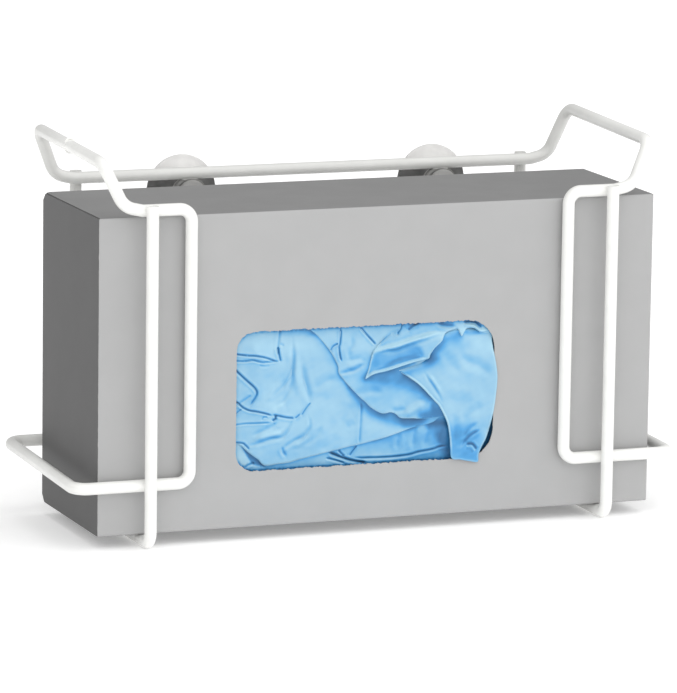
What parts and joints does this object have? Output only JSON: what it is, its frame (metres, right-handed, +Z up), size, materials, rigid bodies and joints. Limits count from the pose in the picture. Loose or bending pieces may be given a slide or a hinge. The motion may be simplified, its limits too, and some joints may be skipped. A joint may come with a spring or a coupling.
{
  "type": "disposable glove dispenser",
  "caption": "Coated wire holder with raised ears, front brackets and cradle wires that carries a carton of disposable gloves, with suction cups behind and gloves showing in the window.",
  "frame": {"origin": "on the surface that the two cradle rails stand on, in the middle of the holder's width and of its depth from the front wires to the cups' rims", "axes": "+X along the carton to its right end as seen from the front, +Y towards the wall, +Z up"},
  "size_m": [0.265, 0.1078, 0.1616],
  "materials": {
    "coated_wire": "smooth semi-gloss white coating over steel wire",
    "clear_vinyl": "glossy milky clear soft vinyl",
    "carton_board": "matte printed folding board, plain grey fields",
    "glove_film": "soft satin light blue nitrile film"
  },
  "bodies": {
    "root": {"perimeter_wire": "coated_wire", "left_cradle_wire": "coated_wire", "right_cradle_wire": "coated_wire", "left_cup_eye": "coated_wire", "right_cup_eye": "coated_wire", "left_suction_cup": "clear_vinyl", "right_suction_cup": "clear_vinyl", "carton": "carton_board", "front_glove": "glove_film", "second_glove": "glove_film", "third_glove": "glove_film", "glove_stack": "glove_film"}
  },
  "joints": []
}
